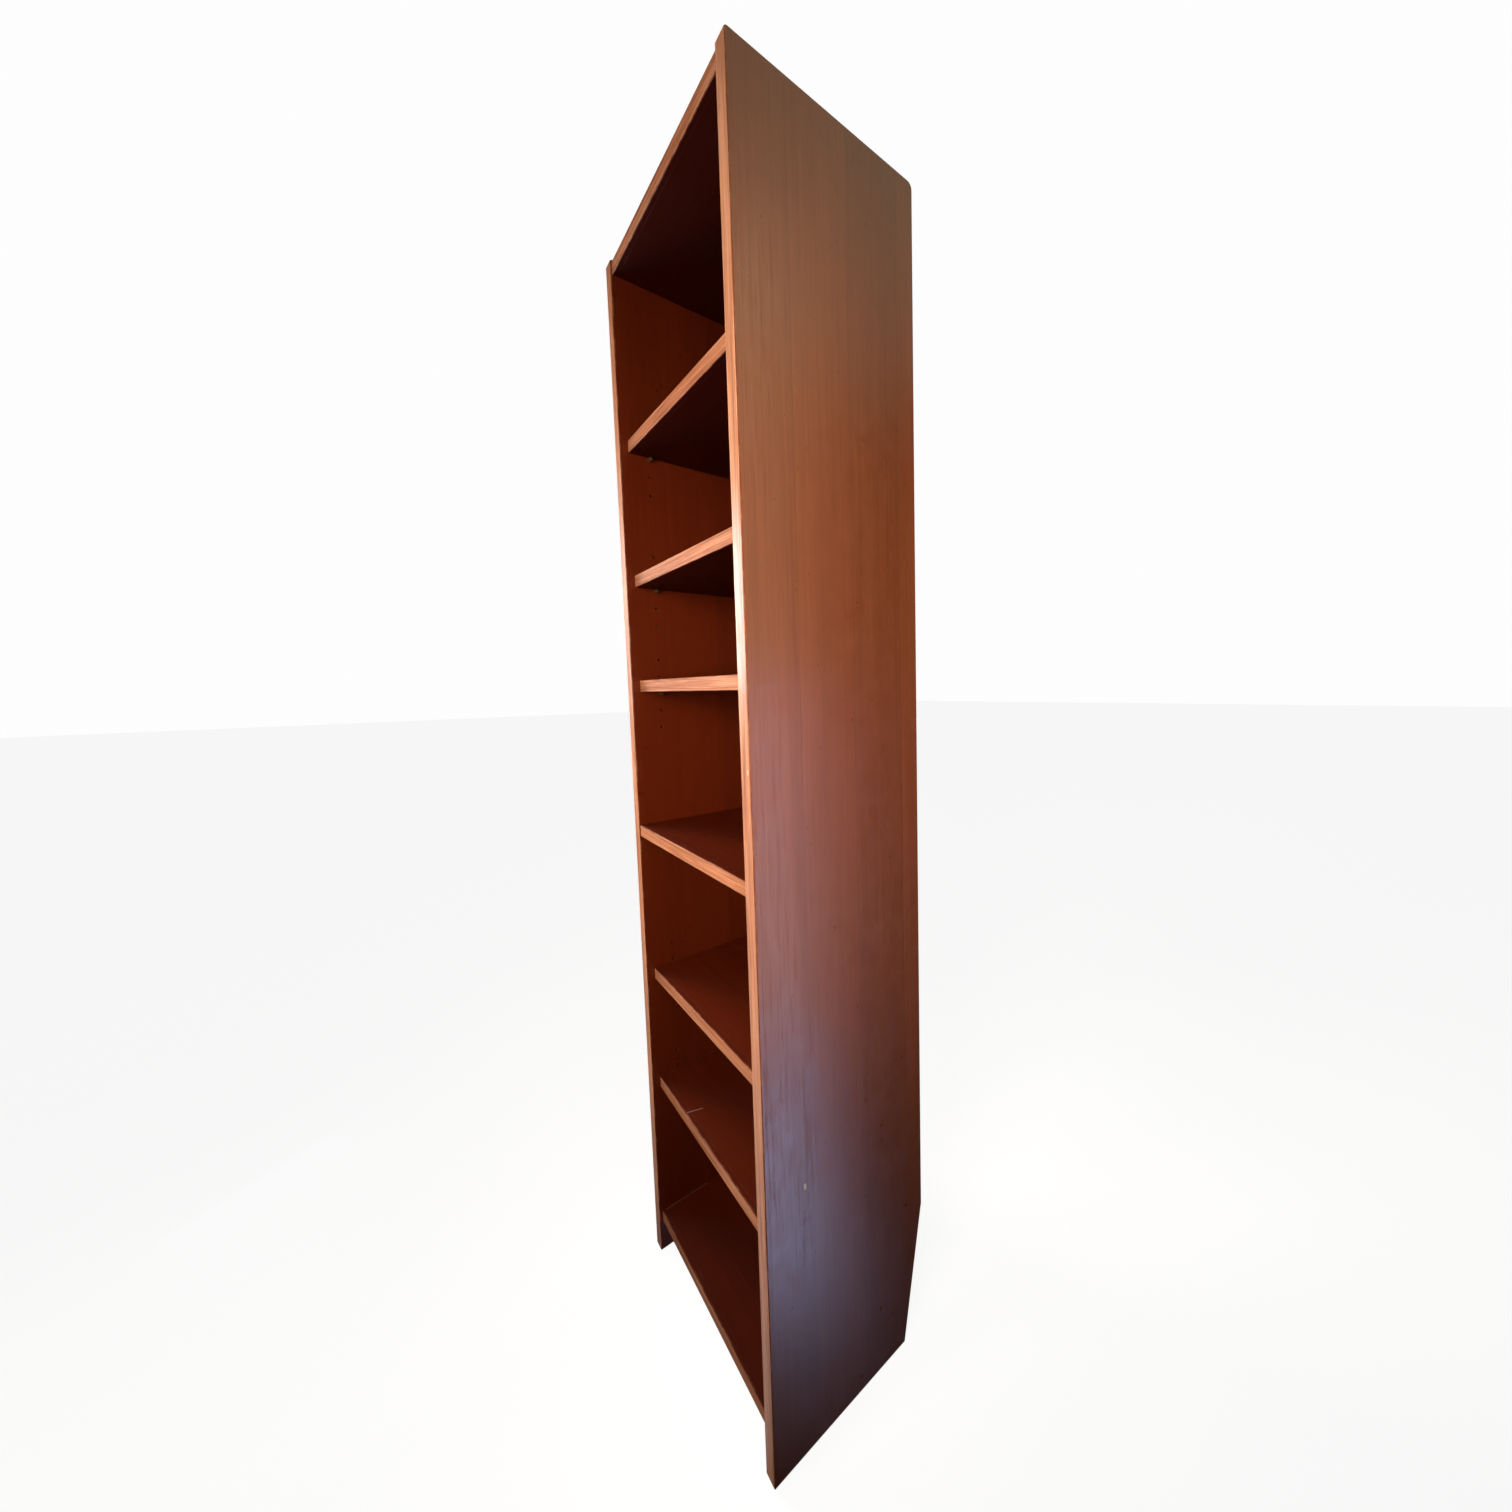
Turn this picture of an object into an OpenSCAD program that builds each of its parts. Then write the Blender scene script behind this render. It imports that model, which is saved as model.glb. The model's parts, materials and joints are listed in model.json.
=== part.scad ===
// Tall narrow bookcase with one fixed middle shelf and five adjustable shelves.
// It stands on the floor at Z = 0, its open front faces -Y, and the origin is
// the middle of its footprint. All sizes are in millimetres.

/* [Case] */
// Height of the two sides, from the floor
case_h = 1880; // [1600:5:2256]
// Width over the two sides
case_w = 457; // [380:1:700]
// Depth of the sides, front edge to back edge
case_d = 305; // [254:1:400]
// Thickness of the sides
side_t = 24; // [20:0.5:30]
// Radius of the sides' upper back corners
corner_back_r = 9; // [3:0.5:14]
// Radius of the sides' upper front corners
corner_front_r = 4; // [1:0.5:7]

/* [Boards] */
// Thickness of the fixed boards and of the adjustable shelves
board_t = 22; // [18:0.5:27]
// How far the top board lies below the tops of the sides
top_drop = 2.5; // [0:0.5:20]
// Clear height under the bottom shelf
foot_h = 59; // [45:1:90]
// Height of the fixed middle shelf's upper face, from the floor
middle_top = 876; // [760:1:960]
// How far the top board is set back from the front of the sides
top_recess = 3; // [0:0.5:20]
// How far the fixed middle shelf is set back
middle_recess = 2; // [0:0.5:20]
// How far the bottom shelf is set back
bottom_recess = 6.5; // [0:0.5:20]
// How far the top board stays inside the back edge of the sides
top_back_in = 2; // [1:0.5:10]

/* [Adjustable shelves] */
// Shelf 1, the uppermost: share of the upper section below its upper face
shelf_1_rise = 0.719; // [0.68:0.001:0.80]
// Shelf 2: share of the upper section below its upper face
shelf_2_rise = 0.475; // [0.45:0.001:0.55]
// Shelf 3: share of the upper section below its upper face
shelf_3_rise = 0.279; // [0.20:0.001:0.32]
// Shelf 4: share of the lower section below its upper face
shelf_4_rise = 0.658; // [0.58:0.001:0.75]
// Shelf 5, the lowest: share of the lower section below its upper face
shelf_5_rise = 0.367; // [0.25:0.001:0.42]
// How far the adjustable shelves are set back from the front of the sides
shelf_recess = 15; // [4:0.5:30]
// Gap at each end of an adjustable shelf
shelf_end_gap = 0.8; // [0.4:0.1:2]
// Gap between an adjustable shelf and the back panel
shelf_back_gap = 2; // [1:0.5:10]

/* [Edges] */
// Depth of the solid wood lipping on each front edge
lip_d = 8; // [5:0.5:14]
// Radius of the softened front arrises
arris_r = 2; // [0.5:0.25:3]

/* [Skirting cut] */
// Height at which the slanted cut leaves the back edge of the sides
cut_h = 229; // [150:1:300]
// How far the cut reaches in at floor level
cut_d = 44; // [15:1:60]

/* [Back] */
// Thickness of the back panel
back_t = 6; // [3:0.5:9]
// Wood left between the back groove and the skirting cut
groove_wall = 8; // [5:0.5:20]
// Depth of the groove that holds the back panel
groove_d = 6; // [4:0.5:9]
// Play around the back panel in its groove
groove_play = 0.2; // [0.1:0.05:0.5]

/* [Kick board] */
// Thickness of the kick board
kick_t = 18; // [15:0.5:24]
// How far the kick board is set back from the front of the sides
kick_recess = 45; // [30:1:80]
// Gap between the kick board and the floor
kick_floor_gap = 3; // [1:0.5:8]

/* [Shelf pins] */
// Diameter of the pin's shank
pin_d = 5; // [4:0.25:6]
// Length of the shank in its hole
pin_shank = 9; // [7:0.5:10]
// Diameter of the pin's head, which carries the shelf
pin_head_d = 7; // [7:0.25:9]
// Length of the head
pin_head = 10; // [7:0.5:14]
// Radial play of the shank in its hole
pin_play = 0.05; // [0.02:0.01:0.1]
// Gap between the head and the shelf above it, and behind the head
pin_gap = 0.3; // [0.1:0.05:0.5]
// Distance between two holes, one above the other
hole_pitch = 32; // [25:1:40]
// Holes above and below the pin in each group
hole_steps = 2; // [1:1:3]
// Distance of the front column of holes from the front of the sides
hole_front = 52; // [40:1:70]
// Distance of the back column of holes from the back panel
hole_back = 37; // [25:1:60]

/* [Dowels and nails] */
// Diameter of the dowels
dowel_d = 8; // [6:0.5:10]
// Length of dowel inside a side
dowel_in_side = 12; // [8:0.5:14]
// Length of dowel inside a board
dowel_in_board = 20; // [15:1:30]
// Free depth at each end of a dowel hole
dowel_spare = 1; // [0.5:0.25:2]
// Distance of the outer dowels from the front and back of a board
dowel_margin = 36; // [25:1:60]
// Diameter of the nails that hold the back panel
nail_d = 1.6; // [1.2:0.1:2.2]
// Length of the nails, heads included
nail_l = 25; // [20:1:35]
// Diameter of the nail heads
nail_head_d = 3.6; // [2.8:0.1:4.5]
// Thickness of the nail heads
nail_head_t = 1; // [0.6:0.1:1.5]

/* [Hidden] */
$fn = 48;
eps = 0.01;
front_y = -case_d / 2;
back_y = case_d / 2;
inner_w = case_w - 2 * side_t;
inner_x = inner_w / 2;

// The back panel lies just in front of the skirting cut, as deep as the cut
// reaches at the underside of the bottom shelf.
cut_at_foot = cut_d * (cut_h - foot_h) / cut_h;
back_set = cut_at_foot + groove_wall + groove_play;
panel_front = back_y - back_set - back_t;

top_z = case_h - top_drop - board_t;
middle_z = middle_top - board_t;
bottom_z = foot_h;
upper_clear = top_z - middle_top;
lower_clear = middle_z - bottom_z - board_t;

SHELVES = [1, 2, 3, 4, 5];
shelf_rise = [0, shelf_1_rise, shelf_2_rise, shelf_3_rise, shelf_4_rise, shelf_5_rise];
function in_upper(i) = i <= 3;
function section_floor(i) = in_upper(i) ? middle_top : bottom_z + board_t;
function section_clear(i) = in_upper(i) ? upper_clear : lower_clear;
function shelf_top(i) = section_floor(i) + shelf_rise[i] * section_clear(i);
function shelf_z(i) = shelf_top(i) - board_t;
shelf_w = inner_w - 2 * shelf_end_gap;
shelf_front = front_y + shelf_recess;
shelf_d = panel_front - shelf_back_gap - shelf_front;

// The pins and their holes follow the shelves. A group of holes loses its
// outer holes where the next board is too near.
function pin_z(i) = shelf_z(i) - pin_gap - pin_head_d / 2;
function board_above(i) = i == 1 ? top_z : i == 4 ? middle_z : shelf_z(i - 1);
function board_below(i) = i == 3 ? middle_top : i == 5 ? bottom_z + board_t : shelf_top(i + 1);
function reach_up(i) = (board_above(i) - shelf_top(i)) / 2;
function reach_down(i) = (shelf_z(i) - board_below(i)) / 2;
function hole_zs(i) = [for (k = [-hole_steps:hole_steps])
    if (k * hole_pitch <= reach_up(i) && -k * hole_pitch <= reach_down(i))
        pin_z(i) + k * hole_pitch];
hole_ys = [front_y + hole_front, panel_front - hole_back];
hole_deep = pin_shank + 1;

// Dowels stand in three rows along a board's end, and in two on the kick board.
function dowel_ys(y0, y1) = [y0 + dowel_margin, (y0 + y1) / 2, y1 - dowel_margin];
top_ys = dowel_ys(front_y + top_recess, back_y - top_back_in);
middle_ys = dowel_ys(front_y + middle_recess, panel_front);
bottom_ys = dowel_ys(front_y + bottom_recess, panel_front);
kick_y = front_y + kick_recess;
kick_h = foot_h - kick_floor_gap;
kick_zs = [kick_floor_gap + kick_h / 4, kick_floor_gap + kick_h * 3 / 4];
nail_xs = [for (k = [-1.5:1:1.5]) k * inner_w / 4];

FIXED_NODES = ["side_left", "side_left_lipping", "side_right", "side_right_lipping",
    "top_board", "top_board_lipping", "middle_shelf", "middle_shelf_lipping",
    "bottom_shelf", "bottom_shelf_lipping", "kick_board", "back_panel", "back_nails",
    "top_dowels", "middle_dowels", "bottom_dowels", "kick_dowels"];
// Every shelf pin is a node of its own, named by its shelf, side and column.
PIN_COLUMNS = ["front", "back"];
PIN_ENDS = [for (side = ["left", "right"]) for (column = PIN_COLUMNS) str("_pin_", side, "_", column)];
SHELF_NODES = [for (i = SHELVES) for (part = concat(["", "_lipping"], PIN_ENDS))
    str("shelf_", i, part)];

// Outline of a side seen from its left: depth along X, height along Y. The
// lower back corner is cut on a slant for the skirting board.
module side_outline() {
    top_front = [corner_front_r, case_h - corner_front_r];
    top_back = [case_d - corner_back_r, case_h - corner_back_r];
    difference() {
        union() {
            square([case_d, case_h - max(corner_front_r, corner_back_r)]);
            translate([corner_front_r, 0])
                square([case_d - corner_front_r - corner_back_r, case_h]);
            square([case_d / 2, case_h - corner_front_r]);
            translate(top_front) circle(corner_front_r);
            translate(top_back) circle(corner_back_r);
        }
        polygon([[case_d - cut_d, 0], [case_d, cut_h], [case_d + 1, cut_h],
            [case_d + 1, -1], [case_d - cut_d, -1]]);
    }
}

// Stretch of the side's outline from depth a to depth b, as a solid board
// whose outer face is on the left.
module side_slice(a, b) {
    translate([-case_w / 2, front_y, 0]) rotate([90, 0, 90]) linear_extrude(side_t)
        intersection() {
            side_outline();
            translate([a, -1]) square([b - a, case_h + 2]);
        }
}

// A hole drilled into the left side from its inner face.
module side_bore(y, z, d, deep) {
    translate([-inner_x + eps, y, z]) rotate([0, -90, 0]) cylinder(h = deep + eps, d = d);
}

module side_holes() {
    for (i = SHELVES) for (z = hole_zs(i)) for (y = hole_ys)
        side_bore(y, z, pin_d + 2 * pin_play, hole_deep);
    deep = dowel_in_side + dowel_spare;
    for (y = top_ys) side_bore(y, top_z + board_t / 2, dowel_d, deep);
    for (y = middle_ys) side_bore(y, middle_z + board_t / 2, dowel_d, deep);
    for (y = bottom_ys) side_bore(y, bottom_z + board_t / 2, dowel_d, deep);
    for (z = kick_zs) side_bore(kick_y + kick_t / 2, z, dowel_d, deep);
}

// The groove is closed at its foot, level with the bottom shelf's underside.
module side_groove() {
    translate([-inner_x - groove_d, panel_front - groove_play, bottom_z - groove_play])
        cube([groove_d + eps, back_t + 2 * groove_play, top_z + groove_d - bottom_z + groove_play]);
}

module side_board() {
    difference() {
        side_slice(lip_d, case_d);
        side_holes();
        side_groove();
    }
}

// Lipping's section: rounded at the front, its depth along X.
module lip_section(t) {
    union() {
        translate([arris_r, 0]) square([lip_d - arris_r, t]);
        translate([0, arris_r]) square([lip_d, t - 2 * arris_r]);
        translate([arris_r, arris_r]) circle(arris_r);
        translate([arris_r, t - arris_r]) circle(arris_r);
    }
}

module side_lipping() {
    intersection() {
        side_slice(0, lip_d);
        translate([-inner_x, front_y, -1]) rotate([0, 0, 90])
            linear_extrude(case_h + 2) lip_section(side_t);
    }
}

module board_lipping(w, recess, z) {
    translate([-w / 2, front_y + recess, z]) rotate([90, 0, 90])
        linear_extrude(w) lip_section(board_t);
}

// A fixed board without its lipping, drilled at both ends for its dowels.
module fixed_board(recess, back, z, ys) {
    y0 = front_y + recess + lip_d;
    difference() {
        translate([-inner_x, y0, z]) cube([inner_w, back - y0, board_t]);
        for (s = [-1, 1]) for (y = ys)
            translate([s * (inner_x + eps), y, z + board_t / 2]) rotate([0, -90 * s, 0])
                cylinder(h = dowel_in_board + dowel_spare + eps, d = dowel_d);
    }
}

// Holes for the back panel's nails in the back edge of a board.
module nail_holes(z) {
    for (x = nail_xs)
        translate([x, back_y - back_set, z + board_t / 2]) rotate([90, 0, 0])
            cylinder(h = nail_l - nail_head_t, d = nail_d);
}

module side_left() { color("#9c6043") side_board(); }
module side_right() { color("#9c6043") mirror([1, 0, 0]) side_board(); }
module side_left_lipping() { color("#dca27c") side_lipping(); }
module side_right_lipping() { color("#dca27c") mirror([1, 0, 0]) side_lipping(); }

module top_board() {
    color("#8a5338") difference() {
        fixed_board(top_recess, back_y - top_back_in, top_z, top_ys);
        translate([-inner_x - eps, panel_front - groove_play, top_z - eps])
            cube([inner_w + 2 * eps, back_t + 2 * groove_play, groove_d + eps]);
    }
}

module middle_shelf() {
    color("#8a5338") difference() {
        fixed_board(middle_recess, panel_front, middle_z, middle_ys);
        nail_holes(middle_z);
    }
}

module bottom_shelf() {
    color("#8a5338") difference() {
        fixed_board(bottom_recess, panel_front, bottom_z, bottom_ys);
        nail_holes(bottom_z);
    }
}

module top_board_lipping() { color("#e0a883") board_lipping(inner_w, top_recess, top_z); }
module middle_shelf_lipping() { color("#e0a883") board_lipping(inner_w, middle_recess, middle_z); }
module bottom_shelf_lipping() { color("#e0a883") board_lipping(inner_w, bottom_recess, bottom_z); }

module kick_board() {
    color("#7a4a33") difference() {
        translate([-inner_x, kick_y, kick_floor_gap]) cube([inner_w, kick_t, kick_h]);
        for (s = [-1, 1]) for (z = kick_zs)
            translate([s * (inner_x + eps), kick_y + kick_t / 2, z]) rotate([0, -90 * s, 0])
                cylinder(h = dowel_in_board + dowel_spare + eps, d = dowel_d);
    }
}

module back_panel() {
    w = inner_w + 2 * (groove_d - groove_play);
    h = top_z + groove_d - groove_play - bottom_z;
    color("#6e3f2a") difference() {
        translate([-w / 2, panel_front, bottom_z]) cube([w, back_t, h]);
        nail_holes(middle_z);
        nail_holes(bottom_z);
    }
}

module nail() {
    cylinder(h = nail_l - nail_head_t, d = nail_d);
    translate([0, 0, -nail_head_t]) cylinder(h = nail_head_t, d = nail_head_d);
}

module back_nails() {
    color("#9a9a96")
        for (z = [middle_z, bottom_z]) for (x = nail_xs)
            translate([x, back_y - back_set, z + board_t / 2]) rotate([90, 0, 0]) nail();
}

// A fluted dowel is drawn as a plain one with chamfered ends.
module dowel() {
    l = dowel_in_side + dowel_in_board;
    r = dowel_d / 2;
    rotate_extrude() polygon([[0, 0], [r - 1, 0], [r, 1], [r, l - 1], [r - 1, l], [0, l]]);
}

module dowel_pair(y, z) {
    for (s = [-1, 1])
        translate([s * (inner_x + dowel_in_side), y, z]) rotate([0, -90 * s, 0]) dowel();
}

module top_dowels() { color("#d9b98c") for (y = top_ys) dowel_pair(y, top_z + board_t / 2); }
module middle_dowels() { color("#d9b98c") for (y = middle_ys) dowel_pair(y, middle_z + board_t / 2); }
module bottom_dowels() { color("#d9b98c") for (y = bottom_ys) dowel_pair(y, bottom_z + board_t / 2); }
module kick_dowels() { color("#d9b98c") for (z = kick_zs) dowel_pair(kick_y + kick_t / 2, z); }

module shelf_board(i) {
    color("#8a5338") translate([-shelf_w / 2, shelf_front + lip_d, shelf_z(i)])
        cube([shelf_w, shelf_d - lip_d, board_t]);
}

module shelf_lipping(i) {
    color("#e0a883") board_lipping(shelf_w, shelf_recess, shelf_z(i));
}

// Shelf pin along +Z: the shank is below the seat, the head above it.
module shelf_pin() {
    r = pin_d / 2;
    h = pin_head_d / 2;
    rotate_extrude() polygon([[0, -pin_shank], [r - 0.6, -pin_shank], [r, 0.6 - pin_shank],
        [r, 0], [h - 0.4, 0], [h, 0.4], [h, pin_head - 1], [h - 1, pin_head], [0, pin_head]]);
}

// Column 0 is the front column of holes and column 1 the back one.
module pin_left(i, column) {
    color("#c9a24e") translate([-inner_x + pin_gap, hole_ys[column], pin_z(i)])
        rotate([0, 90, 0]) shelf_pin();
}

module pin_right(i, column) { mirror([1, 0, 0]) pin_left(i, column); }

side_left();
side_left_lipping();
side_right();
side_right_lipping();
top_board();
top_board_lipping();
middle_shelf();
middle_shelf_lipping();
bottom_shelf();
bottom_shelf_lipping();
kick_board();
back_panel();
back_nails();
top_dowels();
middle_dowels();
bottom_dowels();
kick_dowels();
for (i = SHELVES) {
    shelf_board(i);
    shelf_lipping(i);
    for (c = [0, 1]) {
        pin_left(i, c);
        pin_right(i, c);
    }
}
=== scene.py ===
import json
import math
import bpy
import numpy as np
from mathutils import Matrix, Vector
from mathutils.geometry import delaunay_2d_cdt


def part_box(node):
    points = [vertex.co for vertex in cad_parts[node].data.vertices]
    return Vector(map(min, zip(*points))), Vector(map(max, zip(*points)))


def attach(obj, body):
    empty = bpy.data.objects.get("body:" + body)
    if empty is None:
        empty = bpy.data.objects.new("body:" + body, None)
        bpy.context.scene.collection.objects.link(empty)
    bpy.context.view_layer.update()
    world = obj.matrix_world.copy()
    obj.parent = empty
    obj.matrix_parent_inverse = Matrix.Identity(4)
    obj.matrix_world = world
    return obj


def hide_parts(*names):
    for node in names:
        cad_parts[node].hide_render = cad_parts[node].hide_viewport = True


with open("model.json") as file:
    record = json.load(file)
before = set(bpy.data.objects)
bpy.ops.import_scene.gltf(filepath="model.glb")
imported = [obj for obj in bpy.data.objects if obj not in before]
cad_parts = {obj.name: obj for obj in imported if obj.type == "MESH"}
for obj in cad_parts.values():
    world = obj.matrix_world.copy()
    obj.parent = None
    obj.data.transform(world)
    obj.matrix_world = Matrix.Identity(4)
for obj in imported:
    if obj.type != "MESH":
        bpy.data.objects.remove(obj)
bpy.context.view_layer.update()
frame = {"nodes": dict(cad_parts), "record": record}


class Wire:
    # An output socket. + - * and / on wires and numbers add Math nodes to its own tree.
    def __init__(self, finish, socket):
        self.finish = finish
        self.socket = socket

    def maths(self, operation, first, second=0.0):
        return self.finish.node("ShaderNodeMath", {"operation": operation}, {0: first, 1: second})

    def __add__(self, other):
        return self.maths("ADD", self, other)

    def __radd__(self, other):
        return self.maths("ADD", other, self)

    def __sub__(self, other):
        return self.maths("SUBTRACT", self, other)

    def __rsub__(self, other):
        return self.maths("SUBTRACT", other, self)

    def __mul__(self, other):
        return self.maths("MULTIPLY", self, other)

    def __truediv__(self, other):
        return self.maths("DIVIDE", self, other)

    def floor(self):
        return self.maths("FLOOR", self)

    def fraction(self):
        return self.maths("FRACT", self)

    def least(self, other):
        return self.maths("MINIMUM", self, other)

    def most(self, other):
        return self.maths("MAXIMUM", self, other)


class Finish:
    # The nodes of one material, or of the world, and the few ways they are added.
    def __init__(self, owner, coordinates="Object"):
        owner.use_nodes = True
        self.owner = owner
        self.tree = owner.node_tree
        self.tree.nodes.clear()
        self.place = self.node("ShaderNodeTexCoord", out=coordinates)

    def node(self, kind, settings=None, inputs=None, out=0):
        made = self.tree.nodes.new(kind)
        for key, value in (settings or {}).items():
            if key == "stops":
                while len(made.color_ramp.elements) < len(value):
                    made.color_ramp.elements.new(0.5)
                for element, (position, colour) in zip(made.color_ramp.elements, value):
                    element.position = position
                    element.color = (*colour, 1.0)
            else:
                setattr(made, key, value)
        for key, value in (inputs or {}).items():
            if isinstance(value, Wire):
                self.tree.links.new(value.socket, made.inputs[key])
            else:
                made.inputs[key].default_value = value
        return Wire(self, made.outputs[out]) if len(made.outputs) else made

    def stretch(self, vector, scale):
        return self.node("ShaderNodeMapping", None, {"Vector": vector, "Scale": scale})

    def shifted(self, vector, offset):
        return self.node("ShaderNodeVectorMath", {"operation": "ADD"}, {0: vector, 1: offset})

    def vector(self, x, y, z):
        return self.node("ShaderNodeCombineXYZ", None, {0: x, 1: y, 2: z})

    def part(self, vector, axis):
        return self.node("ShaderNodeSeparateXYZ", None, {0: vector}, "XYZ".index(axis))

    def noise(self, vector, scale=1.0, detail=4.0, roughness=0.5, distortion=0.0):
        return self.node("ShaderNodeTexNoise", None, {
            "Vector": vector, "Scale": scale, "Detail": detail, "Roughness": roughness,
            "Distortion": distortion})

    def chance(self, number):  # a steady random number for each whole number
        return self.node("ShaderNodeTexWhiteNoise", {"noise_dimensions": "1D"}, {"W": number})

    def between(self, value, low, high):  # smooth step from 0 at low to 1 at high
        return self.node("ShaderNodeMapRange", {"interpolation_type": "SMOOTHSTEP"},
                         {"Value": value, "From Min": low, "From Max": high})

    def ramp(self, value, stops):
        return self.node("ShaderNodeValToRGB", {"stops": stops}, {0: value})

    def colours(self, factor, first, second, mode="MIX"):
        first = first if isinstance(first, Wire) else (*first, 1.0)
        second = second if isinstance(second, Wire) else (*second, 1.0)
        return self.node("ShaderNodeMix", {"data_type": "RGBA", "blend_type": mode},
                         {0: factor, 6: first, 7: second}, 2)

    def attribute(self, name):
        return self.node("ShaderNodeAttribute", {"attribute_name": name}, None, "Fac")

    def relief(self, height, strength, depth):
        inputs = {"Height": height, "Strength": strength, "Distance": depth}
        return self.node("ShaderNodeBump", None, inputs)

    def surface(self, inputs):
        shader = self.node("ShaderNodeBsdfPrincipled", None, inputs)
        self.node("ShaderNodeOutputMaterial", None, {"Surface": shader})
        return self.owner


def newFinish(name):
    return Finish(bpy.data.materials.new(name))


def box(node):
    return [np.array(corner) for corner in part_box(node)]


# Teak. Its noises are stretched along the grain: a slow one for the figure, a middle one for the
# streaks and a fine one for the open pores. Faces up to inside on the axis take a deeper red: partly
# teak kept from sun fading, partly the shade inside the case painted in.
wholeBoard = 9.0   # past the end of every board, so the whole board takes the painted shade tint
sideVeneer = {
    "along": "Z", "across": "Y", "leafWidth": 0.0950, "leafStart": -0.0725, "leafTone": 0.20,
    "figure": 13.0, "streaks": 230.0, "pores": 820.0, "stretch": 0.014,
    "stops": [(0.30, (0.196, 0.0432, 0.0122)), (0.50, (0.235, 0.0550, 0.0158)),
              (0.70, (0.273, 0.0684, 0.0205))],
    "poreDepth": 0.14, "jointDepth": 0.25, "roughness": 0.33, "relief": 0.10, "coat": 0.10,
    "specular": 0.5, "wear": 0.30,
    "axis": "X", "inside": box("side_right")[0][0], "unfadedAndShadeTint": (0.58, 0.30, 0.20),
}
shelfVeneer = dict(sideVeneer, along="X", leafWidth=0.118, leafStart=-0.131, roughness=0.50,
                   coat=0.0, specular=0.2, inside=wholeBoard, unfadedAndShadeTint=(0.54, 0.27, 0.18))
topVeneer = dict(shelfVeneer, axis="Z", inside=box("top_board")[0][2] + 0.0075)
sideLip = {
    "along": "Z", "across": "Y", "leafWidth": 5.0, "leafStart": -2.5, "leafTone": 0.0,
    "figure": 26.0, "streaks": 520.0, "pores": 1300.0, "stretch": 0.014,
    "stops": [(0.40, (0.370, 0.125, 0.056)), (0.50, (0.600, 0.245, 0.124)), (0.60, (0.780, 0.370, 0.205))],
    "poreDepth": 0.36, "jointDepth": 0.0, "roughness": 0.34, "relief": 0.22, "coat": 0.10,
    "specular": 0.4, "wear": 0.30,
    "axis": "X", "inside": 0.0, "unfadedAndShadeTint": (1.0, 1.0, 1.0),
}
shelfLip = dict(sideLip, along="X", roughness=0.48, coat=0.0, specular=0.03, stops=[
    (0.40, (0.300, 0.096, 0.040)), (0.50, (0.475, 0.178, 0.083)), (0.60, (0.630, 0.270, 0.143))])
backVeneer = dict(sideVeneer, across="X", leafWidth=0.140, roughness=0.52, coat=0.0, inside=wholeBoard)
wornWood = (0.560, 0.270, 0.140)
poreWood = (0.045, 0.012, 0.006)
paintedUnderShade = (0.34, 0.26, 0.28)   # painted shade: undersides darkened

# What all teak shares: how the noises are mixed, and how far ripple, pores, streaks and the joints
# between leaves change the roughness and the height.
grainLook = {"figureShare": 0.42, "figureStretch": 5, "poreStretch": 0.9, "slide": 7.0,
             "poreFrom": 0.56, "poreTo": 0.70, "ripple": 34.0, "rippleTone": 0.14, "fade": (0.001, 0.003),
             "joint": (0.0002, 0.0007), "rippleRough": 0.10, "poreRough": 0.10, "streakRough": 0.05,
             "streakHeight": 0.40, "poreHeight": 0.40, "jointHeight": 0.8, "depth": 0.0006}


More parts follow.
